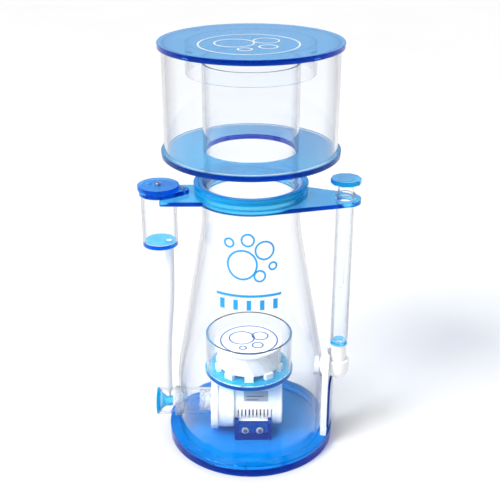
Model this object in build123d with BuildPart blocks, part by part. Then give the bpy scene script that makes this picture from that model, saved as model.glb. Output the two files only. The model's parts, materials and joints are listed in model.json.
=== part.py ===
from build123d import *
from math import asin, cos, degrees, pi, radians, sin
import os

# Cone-bodied protein skimmer for a sump, in millimetres.
# Origin: centre of the base's underside, on the axis of the cone.
# +Z is up, -Y is the front, the air silencer is on -X and the water-level adjuster on +X.

os.makedirs("parts", exist_ok=True)

# ---------------------------------------------------------------- driving dimensions
SHEET = 6.3             # blue acrylic sheet
FINE_EDGE = 0.6         # polished edge chamfer

# base and body flange
BASE_R = 126.6
BASE_T = 12.2
FLANGE_TOP = BASE_T + SHEET
WEEP_X = -8.0           # vertical weep hole at the front of the rim
WEEP_Y = -123.6
WEEP_R = 1.3

# cone body
NECK_R = 70.0           # outside radius of the straight neck
FOOT_R = 111.8          # outside radius of the straight foot
CONE_WALL = 3.4
CONE_TOP = 406.0
CONE_SHOULDER = 350.0   # where the straight neck meets the slope
CONE_SKIRT = 112.0      # where the slope meets the straight foot
CONE_BLEND = 250.0

# collar and its two arms
COLLAR_R = 81.0
COLLAR_BORE = NECK_R + 0.1
ARM_BOTTOM = 392.1
ARM_TOP = ARM_BOTTOM + SHEET
COLLAR_TOP = 415.2
SEAL_POCKET_R = 74.6

# collection cup
RISER_R = 66.2
RISER_WALL = 3.2
RISER_BOTTOM = 396.0
RISER_TOP = 582.0
CUP_FLOOR_BOTTOM = 456.0
CUP_FLOOR_T = 7.2
CUP_FLOOR_R = 124.0
CUP_R = 119.4
CUP_WALL = 4.0
LID_BOTTOM = 602.8
LID_TOP = 610.0
LID_R = 124.5
SPLASH_R = 87.8
SPLASH_BOTTOM = 568.3

# air silencer on the left arm
SILENCER_X = -129.8
SILENCER_Y = -8.8
SILENCER_R = 25.1
SILENCER_FLOOR_TOP = 327.9
SILENCER_FLOOR = SILENCER_FLOOR_TOP - SHEET
CAP_R = 27.5
VALVE_R = 29.5
VALVE_BOTTOM = ARM_TOP + SHEET + 0.6
AIR_HOLE_R = 4.5
AIR_HOLE_OFFSET = (-13.7, 3.3)
EAR_X = -95.5
EAR_Y = -6.5
EAR_R = 8.5
HOSE_R = 6.35
HOSE_BORE = 4.0

# water-level adjuster on the right arm
LEVEL_DIRECTION = -11.3
LEVEL_REACH = 133.2
LEVEL_X = LEVEL_REACH * cos(radians(LEVEL_DIRECTION))
LEVEL_Y = LEVEL_REACH * sin(radians(LEVEL_DIRECTION))
STANDPIPE_R = 12.7
STANDPIPE_WALL = 1.4
STANDPIPE_BOTTOM = 174.5
LEVEL_PIPE_R = 10.9
LEVEL_PIPE_WALL = 1.6
KNOB_BOTTOM = 421.0
KNOB_R = 21.6
ARM_END_R = 22.0

# outlet under the adjuster
PORT_Z = 126.0
ELBOW_R = 16.4
ELBOW_BORE = 9.0
NECK_PIPE_R = 11.0
POST_INNER = 113.2      # distance of the post's inner face from the cone axis
POST_T = 8.8
POST_HALF = 28.0

# pump, lying along X inside the foot of the cone
PUMP_Y = -12.0
PUMP_Z = 57.0
COVER_X = -60.0
VOLUTE_X = -55.0
MOTOR_X = -25.0
CAP_X = 34.0
PUMP_END_X = 47.5
PUMP_FLANGE_R = 42.0
VOLUTE_R = 39.0
CHAMBER_R = 34.0
MOTOR_R = 33.5
ROTOR_BORE = 12.4
SHAFT_R = 3.0
SHAFT_PLAY = 0.06
SHELF_TOP = 23.4

# intake pipe, on the pump's axis, through the wall of the cone
INTAKE_R = 20.6
INTAKE_WALL = 2.5
INTAKE_MOUTH_X = -141.0
THROAT_R = 7.2
BARB_X = -127.5

# bubble plate above the pump
PLATE_X = -3.0
PLATE_BOTTOM = 109.2
PLATE_R = 67.0
BUBBLE_RING_R = 65.2
BUBBLE_RING_TOP = 172.0
DRUM_R = 47.0
DRUM_TOP = 155.0
TEETH = 10
NOZZLE_X = -38.0
NOZZLE_Y = -4.0
NOZZLE_R = 9.5

PLATE_TOP = PLATE_BOTTOM + 6.2

# the outlet's axis, from the cone axis outwards
OUTLET_AXIS = Plane(
    origin=(0, 0, PORT_Z),
    x_dir=(-sin(radians(LEVEL_DIRECTION)), cos(radians(LEVEL_DIRECTION)), 0),
    z_dir=(cos(radians(LEVEL_DIRECTION)), sin(radians(LEVEL_DIRECTION)), 0),
)


def pump_plane(x):
    """Section plane across the pump's axis at x: its own x is +Y and its own y is +Z."""
    return Plane(origin=(x, PUMP_Y, PUMP_Z), x_dir=(0, 1, 0), z_dir=(1, 0, 0))


def at(x, y, z):
    """Level plane at height z with its origin over (x, y)."""
    return Plane.XY.offset(z).move(Location((x, y, 0)))


def rims(piece, smallest):
    """The circular edges of a piece whose radius is over smallest."""
    return piece.edges().filter_by(GeomType.CIRCLE).filter_by(lambda edge: edge.radius > smallest)


# ---------------------------------------------------------------- base
with BuildPart() as base_plate:
    with BuildSketch(Plane.XY):
        Circle(BASE_R)
        with Locations((WEEP_X, WEEP_Y)):
            Circle(WEEP_R, mode=Mode.SUBTRACT)
    extrude(amount=BASE_T)
    chamfer(rims(base_plate, 120), length=FINE_EDGE)
base_plate.part.label = "base_plate"
export_step(base_plate.part, "parts/base_plate.step")

with BuildPart() as body_flange:
    with BuildSketch(Plane.XY.offset(BASE_T)):
        Circle(BASE_R)
        Circle(FOOT_R + 0.1, mode=Mode.SUBTRACT)
        with Locations((WEEP_X, WEEP_Y)):
            Circle(WEEP_R, mode=Mode.SUBTRACT)
    extrude(amount=SHEET)
    chamfer(rims(body_flange, 120), length=FINE_EDGE)
body_flange.part.label = "body_flange"
export_step(body_flange.part, "parts/body_flange.step")


# ---------------------------------------------------------------- cone body
def cone_outline(inset):
    """Corners of the cone's wall, from its top rim to its foot, moved in by inset."""
    return [
        (NECK_R - inset, CONE_TOP),
        (NECK_R - inset, CONE_SHOULDER),
        (FOOT_R - inset, CONE_SKIRT),
        (FOOT_R - inset, BASE_T),
    ]


GROMMET_R = 22.9
PORT_R = 14.0

with BuildPart() as cone_body:
    with BuildSketch(Plane.XZ):
        with BuildLine():
            outside = FilletPolyline(*cone_outline(0), radius=CONE_BLEND)
            inside = FilletPolyline(*cone_outline(CONE_WALL), radius=CONE_BLEND)
            Line(outside @ 0, inside @ 0)
            Line(outside @ 1, inside @ 1)
        make_face()
    revolve(axis=Axis.Z)
    with BuildSketch(pump_plane(-FOOT_R - 5)):
        Circle(GROMMET_R)
    extrude(amount=40, mode=Mode.SUBTRACT)
    with BuildSketch(OUTLET_AXIS.offset(90)):
        Circle(PORT_R)
    extrude(amount=30, mode=Mode.SUBTRACT)
cone_body.part.label = "cone_body"
export_step(cone_body.part, "parts/cone_body.step")

# ---------------------------------------------------------------- collar
SWEEP_IN = degrees(asin((COLLAR_R - ARM_END_R) / LEVEL_REACH))
FRONT_NORMAL = radians(LEVEL_DIRECTION - 90 + SWEEP_IN)
BACK_NORMAL = radians(68.2)

with BuildPart() as bracket_plate:
    with BuildSketch(Plane.XY.offset(ARM_BOTTOM)):
        with BuildLine():
            Polyline(
                (0, 0),
                (COLLAR_R * cos(FRONT_NORMAL), COLLAR_R * sin(FRONT_NORMAL)),
                (LEVEL_X + ARM_END_R * cos(FRONT_NORMAL), LEVEL_Y + ARM_END_R * sin(FRONT_NORMAL)),
                (LEVEL_X + ARM_END_R * cos(BACK_NORMAL), LEVEL_Y + ARM_END_R * sin(BACK_NORMAL)),
                (60, 26),
                close=True,
            )
        make_face()
        with Locations((-126.0, -8.8)):
            Rectangle(126.0, 71.4, align=(Align.MIN, Align.CENTER))
        fillet(vertices().group_by(Axis.X)[0], radius=4.5)
        with Locations((LEVEL_X, LEVEL_Y)):
            Circle(ARM_END_R)
        Circle(COLLAR_R)
        Circle(COLLAR_BORE, mode=Mode.SUBTRACT)
        with Locations((SILENCER_X, SILENCER_Y)):
            Circle(SILENCER_R + 0.2, mode=Mode.SUBTRACT)
        with Locations((LEVEL_X, LEVEL_Y)):
            Circle(STANDPIPE_R + 0.05, mode=Mode.SUBTRACT)
        with Locations((EAR_X, EAR_Y)):
            Circle(2.1, mode=Mode.SUBTRACT)
    extrude(amount=SHEET)
bracket_plate.part.label = "bracket_plate"
export_step(bracket_plate.part, "parts/bracket_plate.step")

with BuildPart() as collar_lower_ring:
    with BuildSketch(Plane.XY.offset(ARM_TOP)):
        Circle(COLLAR_R)
        Circle(COLLAR_BORE, mode=Mode.SUBTRACT)
    extrude(amount=CONE_TOP - ARM_TOP)
collar_lower_ring.part.label = "collar_lower_ring"
export_step(collar_lower_ring.part, "parts/collar_lower_ring.step")

with BuildPart() as collar_upper_ring:
    with BuildSketch(Plane.XY.offset(CONE_TOP)):
        Circle(COLLAR_R)
        Circle(SEAL_POCKET_R, mode=Mode.SUBTRACT)
    extrude(amount=COLLAR_TOP - CONE_TOP)
    chamfer(collar_upper_ring.faces().sort_by(Axis.Z)[-1].edges(), length=0.9)
collar_upper_ring.part.label = "collar_upper_ring"
export_step(collar_upper_ring.part, "parts/collar_upper_ring.step")

with BuildPart() as collar_seal:
    with BuildSketch(Plane.XZ):
        with Locations((70.6, CONE_TOP + 3.9)):
            Circle(3.85)
    revolve(axis=Axis.Z)
collar_seal.part.label = "collar_seal"
export_step(collar_seal.part, "parts/collar_seal.step")

# ---------------------------------------------------------------- collection cup
with BuildPart() as riser_tube:
    with BuildSketch(Plane.XY.offset(RISER_BOTTOM)):
        Circle(RISER_R)
        Circle(RISER_R - RISER_WALL, mode=Mode.SUBTRACT)
    extrude(amount=RISER_TOP - RISER_BOTTOM)
    chamfer(riser_tube.edges().filter_by(GeomType.CIRCLE).sort_by(Axis.Z)[:2], length=0.5)
riser_tube.part.label = "riser_tube"
export_step(riser_tube.part, "parts/riser_tube.step")

with BuildPart() as cup_floor:
    with BuildSketch(Plane.XY.offset(CUP_FLOOR_BOTTOM)):
        Circle(CUP_FLOOR_R)
        Circle(RISER_R + 0.05, mode=Mode.SUBTRACT)
    extrude(amount=CUP_FLOOR_T)
    chamfer(rims(cup_floor, 100), length=FINE_EDGE)
cup_floor.part.label = "cup_floor"
export_step(cup_floor.part, "parts/cup_floor.step")

with BuildPart() as cup_wall:
    with BuildSketch(Plane.XY.offset(CUP_FLOOR_BOTTOM + CUP_FLOOR_T)):
        Circle(CUP_R)
        Circle(CUP_R - CUP_WALL, mode=Mode.SUBTRACT)
    extrude(amount=LID_BOTTOM - CUP_FLOOR_BOTTOM - CUP_FLOOR_T)
cup_wall.part.label = "cup_wall"
export_step(cup_wall.part, "parts/cup_wall.step")

with BuildPart() as lid:
    with BuildSketch(Plane.XY.offset(LID_BOTTOM)):
        Circle(LID_R)
        with PolarLocations(109.5, 4, start_angle=45):
            SlotOverall(12, 2, rotation=90, mode=Mode.SUBTRACT)
    extrude(amount=LID_TOP - LID_BOTTOM)
    chamfer(rims(lid, 100), length=FINE_EDGE)
lid.part.label = "lid"
export_step(lid.part, "parts/lid.step")

with BuildPart() as splash_ring:
    with BuildSketch(Plane.XY.offset(SPLASH_BOTTOM)):
        Circle(SPLASH_R)
        Circle(SPLASH_R - 3.0, mode=Mode.SUBTRACT)
    extrude(amount=LID_BOTTOM - SPLASH_BOTTOM)
splash_ring.part.label = "splash_ring"
export_step(splash_ring.part, "parts/splash_ring.step")

# ---------------------------------------------------------------- air silencer
with BuildPart() as silencer_tube:
    with BuildSketch(at(SILENCER_X, SILENCER_Y, SILENCER_FLOOR_TOP)):
        Circle(SILENCER_R)
        Circle(SILENCER_R - 2.6, mode=Mode.SUBTRACT)
    extrude(amount=ARM_TOP - SILENCER_FLOOR_TOP)
silencer_tube.part.label = "silencer_tube"
export_step(silencer_tube.part, "parts/silencer_tube.step")

HOSE_TOP_X = -117.6
HOSE_TOP_Y = -9.3

with BuildPart() as silencer_floor:
    with BuildSketch(at(SILENCER_X, SILENCER_Y, SILENCER_FLOOR)):
        Circle(SILENCER_R)
        with Locations((HOSE_TOP_X - SILENCER_X, HOSE_TOP_Y - SILENCER_Y)):
            Circle(HOSE_BORE, mode=Mode.SUBTRACT)
    extrude(amount=SHEET)
silencer_floor.part.label = "silencer_floor"
export_step(silencer_floor.part, "parts/silencer_floor.step")

with BuildPart() as silencer_barb:
    with BuildSketch(at(HOSE_TOP_X, HOSE_TOP_Y, SILENCER_FLOOR_TOP)):
        Circle(HOSE_BORE)
        Circle(2.6, mode=Mode.SUBTRACT)
    extrude(amount=-SHEET - 16)
silencer_barb.part.label = "silencer_barb"
export_step(silencer_barb.part, "parts/silencer_barb.step")

with BuildPart() as silencer_cap:
    with BuildSketch(Plane.XY.offset(ARM_TOP)):
        with Locations((SILENCER_X, SILENCER_Y)):
            Circle(CAP_R)
        with Locations((EAR_X, EAR_Y)):
            Circle(EAR_R)
        make_hull()
        with Locations((SILENCER_X + AIR_HOLE_OFFSET[0], SILENCER_Y + AIR_HOLE_OFFSET[1])):
            Circle(AIR_HOLE_R, mode=Mode.SUBTRACT)
        with Locations((SILENCER_X, SILENCER_Y), (EAR_X, EAR_Y)):
            Circle(2.0, mode=Mode.SUBTRACT)
    extrude(amount=SHEET)
silencer_cap.part.label = "silencer_cap"
export_step(silencer_cap.part, "parts/silencer_cap.step")

with BuildPart() as valve_washer:
    with BuildSketch(at(SILENCER_X, SILENCER_Y, ARM_TOP + SHEET)):
        Circle(5.0)
        Circle(2.05, mode=Mode.SUBTRACT)
    extrude(amount=0.5)
valve_washer.part.label = "valve_washer"
export_step(valve_washer.part, "parts/valve_washer.step")

with BuildPart() as air_valve_disc:
    with BuildSketch(at(SILENCER_X, SILENCER_Y, VALVE_BOTTOM)):
        Circle(VALVE_R)
        Circle(2.06, mode=Mode.SUBTRACT)
        with Locations(AIR_HOLE_OFFSET):
            Circle(AIR_HOLE_R, mode=Mode.SUBTRACT)
    extrude(amount=SHEET)
    chamfer(rims(air_valve_disc, 20), length=FINE_EDGE)
air_valve_disc.part.label = "air_valve_disc"
export_step(air_valve_disc.part, "parts/air_valve_disc.step")


def pan_screw(x, y, seat, shank_r, length, head_r):
    """Pan-head screw standing on z = seat, its shank going down, with a hexagon socket."""
    with BuildPart() as screw:
        with BuildSketch(at(x, y, seat)):
            Circle(head_r)
        extrude(amount=0.62 * head_r)
        fillet(screw.faces().sort_by(Axis.Z)[-1].edges(), radius=0.35 * head_r)
        with BuildSketch(at(x, y, seat)):
            Circle(shank_r)
        extrude(amount=-length)
        with BuildSketch(at(x, y, seat + 0.62 * head_r)):
            RegularPolygon(0.45 * head_r, 6)
        extrude(amount=-0.4 * head_r, mode=Mode.SUBTRACT)
    return screw


valve_pivot_screw = pan_screw(SILENCER_X, SILENCER_Y, VALVE_BOTTOM + SHEET + 0.1, 2.0, 14.0, 4.2)
valve_pivot_screw.part.label = "valve_pivot_screw"
export_step(valve_pivot_screw.part, "parts/valve_pivot_screw.step")

ear_screw = pan_screw(EAR_X, EAR_Y, ARM_TOP + SHEET, 2.0, 12.6, 3.8)
ear_screw.part.label = "ear_screw"
export_step(ear_screw.part, "parts/ear_screw.step")

# ---------------------------------------------------------------- water-level adjuster
with BuildPart() as standpipe:
    with BuildSketch(at(LEVEL_X, LEVEL_Y, STANDPIPE_BOTTOM)):
        Circle(STANDPIPE_R)
        Circle(STANDPIPE_R - STANDPIPE_WALL, mode=Mode.SUBTRACT)
    extrude(amount=ARM_TOP - STANDPIPE_BOTTOM)
    with BuildSketch(Plane.XZ.offset(-LEVEL_Y)):
        with BuildLine():
            Polyline(
                (LEVEL_X - 5, 385),
                (LEVEL_X + 5, 385),
                (LEVEL_X + 1.5, 255),
                (LEVEL_X - 1.5, 255),
                close=True,
            )
        make_face()
    extrude(amount=-20, mode=Mode.SUBTRACT)
standpipe.part.label = "standpipe"
export_step(standpipe.part, "parts/standpipe.step")

with BuildPart() as standpipe_end_ring:
    with BuildSketch(at(LEVEL_X, LEVEL_Y, STANDPIPE_BOTTOM - SHEET)):
        Circle(STANDPIPE_R)
        Circle(8.0, mode=Mode.SUBTRACT)
    extrude(amount=SHEET)
standpipe_end_ring.part.label = "standpipe_end_ring"
export_step(standpipe_end_ring.part, "parts/standpipe_end_ring.step")

with BuildPart() as standpipe_guide_ring:
    with BuildSketch(at(LEVEL_X, LEVEL_Y, ARM_TOP)):
        Circle(14.1)
        Circle(LEVEL_PIPE_R + 0.35, mode=Mode.SUBTRACT)
    extrude(amount=SHEET)
standpipe_guide_ring.part.label = "standpipe_guide_ring"
export_step(standpipe_guide_ring.part, "parts/standpipe_guide_ring.step")

with BuildPart() as level_pipe:
    with BuildSketch(at(LEVEL_X, LEVEL_Y, STANDPIPE_BOTTOM + 0.5)):
        Circle(LEVEL_PIPE_R)
        Circle(LEVEL_PIPE_R - LEVEL_PIPE_WALL, mode=Mode.SUBTRACT)
    extrude(amount=KNOB_BOTTOM - STANDPIPE_BOTTOM - 0.5)
    with BuildSketch(Plane.XZ.offset(-LEVEL_Y)):
        with BuildLine():
            Polyline(
                (LEVEL_X - 4.5, 380),
                (LEVEL_X + 4.5, 380),
                (LEVEL_X + 4.5, 262),
                close=True,
            )
        make_face()
    extrude(amount=-20, mode=Mode.SUBTRACT)
level_pipe.part.label = "level_pipe"
export_step(level_pipe.part, "parts/level_pipe.step")

with BuildPart() as level_knob:
    with BuildSketch(at(LEVEL_X, LEVEL_Y, KNOB_BOTTOM)):
        RegularPolygon(KNOB_R, 10)
        fillet(vertices(), radius=5.0)
    extrude(amount=SHEET)
    chamfer(level_knob.faces().sort_by(Axis.Z)[-1].edges(), length=0.5)
level_knob.part.label = "level_knob"
export_step(level_knob.part, "parts/level_knob.step")

# ---------------------------------------------------------------- outlet
NECK_FOOT = PORT_Z + 10.0

with BuildPart() as outlet_neck:
    with BuildSketch(at(LEVEL_X, LEVEL_Y, NECK_FOOT)):
        Circle(NECK_PIPE_R)
        Circle(NECK_PIPE_R - 2.5, mode=Mode.SUBTRACT)
    extrude(amount=STANDPIPE_BOTTOM - SHEET - NECK_FOOT)
outlet_neck.part.label = "outlet_neck"
export_step(outlet_neck.part, "parts/outlet_neck.step")

ELBOW_INNER = 118.0     # distance of the elbow's horizontal mouth from the cone axis
ELBOW_TOP = PORT_Z + 15.0
ELBOW_WAY = 8.4         # radius of the horizontal way through the elbow

with BuildPart() as outlet_elbow:
    with BuildSketch(Plane(origin=(LEVEL_X, LEVEL_Y, PORT_Z), x_dir=(1, 0, 0), z_dir=(0, -1, 0))):
        with BuildLine():
            Line((0, -ELBOW_R), (0, ELBOW_TOP - PORT_Z))
            Line((0, ELBOW_TOP - PORT_Z), (ELBOW_R - 1.2, ELBOW_TOP - PORT_Z))
            RadiusArc((ELBOW_R - 1.2, ELBOW_TOP - PORT_Z), (ELBOW_R, ELBOW_TOP - PORT_Z - 1.2), 1.2)
            Line((ELBOW_R, ELBOW_TOP - PORT_Z - 1.2), (ELBOW_R, 0))
            RadiusArc((ELBOW_R, 0), (0, -ELBOW_R), ELBOW_R)
        make_face()
    revolve(axis=Axis((LEVEL_X, LEVEL_Y, PORT_Z), (0, 0, 1)))
    with BuildSketch(OUTLET_AXIS.offset(ELBOW_INNER - 2)):
        Circle(PORT_R)
    extrude(amount=LEVEL_REACH - ELBOW_INNER + 2)
    with BuildSketch(OUTLET_AXIS.offset(ELBOW_INNER)):
        Circle(2 * ELBOW_R)
    extrude(amount=-10, mode=Mode.SUBTRACT)
    with BuildSketch(at(LEVEL_X, LEVEL_Y, NECK_FOOT)):
        Circle(NECK_PIPE_R + 0.05)
    extrude(amount=30, mode=Mode.SUBTRACT)
    with BuildSketch(at(LEVEL_X, LEVEL_Y, PORT_Z - ELBOW_BORE)):
        Circle(ELBOW_BORE)
    extrude(amount=30, mode=Mode.SUBTRACT)
    with BuildSketch(OUTLET_AXIS.offset(ELBOW_INNER - 1)):
        Circle(ELBOW_WAY)
    extrude(amount=LEVEL_REACH - ELBOW_INNER + 1, mode=Mode.SUBTRACT)
outlet_elbow.part.label = "outlet_elbow"
export_step(outlet_elbow.part, "parts/outlet_elbow.step")

with BuildPart() as outlet_port:
    with BuildSketch(OUTLET_AXIS.offset(98)):
        Circle(PORT_R)
        Circle(ELBOW_BORE + 1.5, mode=Mode.SUBTRACT)
    extrude(amount=ELBOW_INNER - 98)
outlet_port.part.label = "outlet_port"
export_step(outlet_port.part, "parts/outlet_port.step")

with BuildPart() as outlet_post:
    with BuildSketch(OUTLET_AXIS.offset(POST_INNER)):
        Circle(POST_HALF)
        Rectangle(2 * POST_HALF, PORT_Z - FLANGE_TOP, align=(Align.CENTER, Align.MAX))
        Circle(PORT_R + 0.05, mode=Mode.SUBTRACT)
    extrude(amount=POST_T)
    with Locations((LEVEL_X, LEVEL_Y, PORT_Z)):
        Sphere(ELBOW_R + 0.1, mode=Mode.SUBTRACT)
    with BuildSketch(at(LEVEL_X, LEVEL_Y, PORT_Z)):
        Circle(ELBOW_R + 0.1)
    extrude(amount=40, mode=Mode.SUBTRACT)
outlet_post.part.label = "outlet_post"
export_step(outlet_post.part, "parts/outlet_post.step")

BACKING_T = 3.2
BACKING_HALF = 20.0
BACKING_TOP = 107.0

with BuildPart() as outlet_backing_plate:
    with BuildSketch(OUTLET_AXIS.offset(POST_INNER + POST_T)):
        with Locations((0, FLANGE_TOP - PORT_Z)):
            Rectangle(2 * BACKING_HALF, BACKING_TOP - FLANGE_TOP, align=(Align.CENTER, Align.MIN))
        fillet(vertices().group_by(Axis.Z)[-1], radius=BACKING_HALF - 2)
    extrude(amount=BACKING_T)
outlet_backing_plate.part.label = "outlet_backing_plate"
export_step(outlet_backing_plate.part, "parts/outlet_backing_plate.step")

# ---------------------------------------------------------------- intake
SLEEVE_X = -79.0

with BuildPart() as intake_pipe:
    with BuildSketch(pump_plane(INTAKE_MOUTH_X)):
        Circle(INTAKE_R)
        Circle(INTAKE_R - INTAKE_WALL, mode=Mode.SUBTRACT)
    extrude(amount=COVER_X - INTAKE_MOUTH_X)
    with BuildSketch(at(BARB_X, PUMP_Y, PUMP_Z)):
        Circle(HOSE_BORE)
    extrude(amount=INTAKE_R + 5, mode=Mode.SUBTRACT)
intake_pipe.part.label = "intake_pipe"
export_step(intake_pipe.part, "parts/intake_pipe.step")

BELL_X = INTAKE_MOUTH_X - 3.6
THROAT_X = -121.0
PUMP_LINE = Axis((0, PUMP_Y, PUMP_Z), (1, 0, 0))

with BuildPart() as intake_bell:
    with BuildSketch(Plane.XZ.offset(-PUMP_Y)):
        with BuildLine():
            Line((BELL_X, PUMP_Z + 18.0), (BELL_X, PUMP_Z + INTAKE_R))
            Line((BELL_X, PUMP_Z + INTAKE_R), (INTAKE_MOUTH_X, PUMP_Z + INTAKE_R))
            Line((INTAKE_MOUTH_X, PUMP_Z + INTAKE_R), (INTAKE_MOUTH_X, PUMP_Z + 18.0))
            Line((INTAKE_MOUTH_X, PUMP_Z + 18.0), (INTAKE_MOUTH_X + 2, PUMP_Z + 18.0))
            flare = TangentArc(
                (INTAKE_MOUTH_X + 2, PUMP_Z + 18.0),
                (THROAT_X - 6, PUMP_Z + THROAT_R + 1.2),
                tangent=(0.1, -1),
            )
            Line(flare @ 1, (THROAT_X, PUMP_Z + THROAT_R))
            Line((THROAT_X, PUMP_Z + THROAT_R), (THROAT_X, PUMP_Z + THROAT_R - 1.2))
            Line((THROAT_X, PUMP_Z + THROAT_R - 1.2), (THROAT_X - 8, PUMP_Z + THROAT_R - 1.0))
            RadiusArc((THROAT_X - 8, PUMP_Z + THROAT_R - 1.0), (BELL_X, PUMP_Z + 18.0), 18.0)
        make_face()
    revolve(axis=PUMP_LINE)
intake_bell.part.label = "intake_bell"
export_step(intake_bell.part, "parts/intake_bell.step")

HOSE_FOOT_Z = PUMP_Z + INTAKE_R + 2.4

with BuildPart() as intake_barb:
    with BuildSketch(at(BARB_X, PUMP_Y, HOSE_FOOT_Z)):
        Circle(HOSE_R)
    extrude(amount=-6.0)
    with BuildSketch(pump_plane(BARB_X - 10)):
        Circle(INTAKE_R + 0.05)
    extrude(amount=20, mode=Mode.SUBTRACT)
    with BuildSketch(at(BARB_X, PUMP_Y, PUMP_Z + THROAT_R + 3.5)):
        Circle(HOSE_BORE)
    extrude(amount=HOSE_FOOT_Z + 15 - PUMP_Z - THROAT_R - 3.5)
    with BuildSketch(at(BARB_X, PUMP_Y, PUMP_Z)):
        Circle(2.6)
    extrude(amount=60, mode=Mode.SUBTRACT)
intake_barb.part.label = "intake_barb"
export_step(intake_barb.part, "parts/intake_barb.step")

with BuildPart() as intake_grommet:
    with BuildSketch(pump_plane(-116)):
        Circle(GROMMET_R)
        Circle(INTAKE_R + 0.05, mode=Mode.SUBTRACT)
    extrude(amount=14)
intake_grommet.part.label = "intake_grommet"
export_step(intake_grommet.part, "parts/intake_grommet.step")

SPIGOT_R = 14.8

with BuildPart() as intake_coupling:
    with BuildSketch(pump_plane(SLEEVE_X)):
        Circle(INTAKE_R - INTAKE_WALL - 0.05)
        Circle(SPIGOT_R + 0.05, mode=Mode.SUBTRACT)
    extrude(amount=COVER_X - SLEEVE_X)
intake_coupling.part.label = "intake_coupling"
export_step(intake_coupling.part, "parts/intake_coupling.step")

# The hose hangs from the silencer and lands on the intake, bowing out a little on its way down.
HOSE_ROUTE = [
    (HOSE_TOP_X, HOSE_TOP_Y, SILENCER_FLOOR),
    (HOSE_TOP_X, HOSE_TOP_Y, 262.0),
    (-122.2, -10.4, 200.0),
    (BARB_X, PUMP_Y, 138.0),
    (BARB_X, PUMP_Y, HOSE_FOOT_Z),
]
hose_runs = [Vector(*end) - Vector(*start) for start, end in zip(HOSE_ROUTE, HOSE_ROUTE[1:])]
hose_radii = []
for before, after in zip(hose_runs, hose_runs[1:]):
    half_turn = radians(before.get_angle(after)) / 2
    hose_radii.append(0.45 * min(before.length, after.length) * cos(half_turn) / sin(half_turn))
print("hose arc radii, mm:", [round(radius) for radius in hose_radii])

with BuildPart() as air_hose:
    with BuildLine():
        hose_line = FilletPolyline(*HOSE_ROUTE, radius=hose_radii)
    with BuildSketch(Plane(hose_line @ 0, x_dir=(1, 0, 0), z_dir=hose_line % 0)):
        Circle(HOSE_R)
        Circle(HOSE_BORE, mode=Mode.SUBTRACT)
    sweep()
hose_section = pi * (HOSE_R**2 - HOSE_BORE**2)
print("hose length, mm:", round(hose_line.length, 1), "volume over section times length:",
      round(air_hose.part.volume / (hose_section * hose_line.length), 4))
air_hose.part.label = "air_hose"
export_step(air_hose.part, "parts/air_hose.step")

# ---------------------------------------------------------------- pump casing
COVER_SCREW_R = 37.6
COVER_SEAL_R = 35.9
COVER_SEAL_T = 1.5
SPIGOT_BORE = 11.0
BUSH_R = SHAFT_R + 1.6

with BuildPart() as pump_cover:
    with BuildSketch(pump_plane(COVER_X)):
        Circle(PUMP_FLANGE_R)
    extrude(amount=VOLUTE_X - COVER_X)
    fillet(pump_cover.faces().sort_by(Axis.X)[0].edges(), radius=1.0)
    with BuildSketch(pump_plane(COVER_X)):
        Circle(SPIGOT_R)
    extrude(amount=-10)
    with BuildSketch(pump_plane(COVER_X - 10)):
        Circle(SPIGOT_BORE)
    extrude(amount=20, mode=Mode.SUBTRACT)
    with BuildSketch(pump_plane(COVER_X)):
        Circle(BUSH_R + 0.9)
        with PolarLocations(8, 3):
            Rectangle(8, 2.2)
        Circle(BUSH_R, mode=Mode.SUBTRACT)
    extrude(amount=5)
    with BuildSketch(pump_plane(COVER_X)):
        with PolarLocations(COVER_SCREW_R, 4, start_angle=45):
            Circle(1.6)
    extrude(amount=10, mode=Mode.SUBTRACT)
pump_cover.part.label = "pump_cover"
export_step(pump_cover.part, "parts/pump_cover.step")

with BuildPart() as cover_seal:
    with BuildSketch(pump_plane(VOLUTE_X)):
        Circle(COVER_SEAL_R)
        Circle(COVER_SEAL_R - 1.5, mode=Mode.SUBTRACT)
    extrude(amount=COVER_SEAL_T)
cover_seal.part.label = "cover_seal"
export_step(cover_seal.part, "parts/cover_seal.step")

with BuildPart() as pump_volute:
    with BuildSketch(pump_plane(VOLUTE_X)):
        Circle(PUMP_FLANGE_R)
    extrude(amount=4.6)
    with BuildSketch(pump_plane(VOLUTE_X)):
        Circle(VOLUTE_R)
    extrude(amount=MOTOR_X - VOLUTE_X)
    fillet(pump_volute.edges().filter_by(GeomType.CIRCLE).sort_by(Axis.X)[-1], radius=2.5)
    with BuildSketch(pump_plane(VOLUTE_X)):
        Circle(CHAMBER_R)
    extrude(amount=MOTOR_X - VOLUTE_X - 3, mode=Mode.SUBTRACT)
    with BuildSketch(pump_plane(VOLUTE_X)):
        Circle(COVER_SEAL_R)
    extrude(amount=COVER_SEAL_T, mode=Mode.SUBTRACT)
    with BuildSketch(pump_plane(MOTOR_X)):
        Circle(ROTOR_BORE)
    extrude(amount=-10, mode=Mode.SUBTRACT)
    with BuildSketch(at(NOZZLE_X, NOZZLE_Y, PUMP_Z + 20)):
        Circle(NOZZLE_R)
    extrude(amount=30, mode=Mode.SUBTRACT)
    with BuildSketch(pump_plane(VOLUTE_X)):
        with PolarLocations(COVER_SCREW_R, 4, start_angle=45):
            Circle(1.35)
    extrude(amount=14, mode=Mode.SUBTRACT)
pump_volute.part.label = "pump_volute"
export_step(pump_volute.part, "parts/pump_volute.step")

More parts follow.
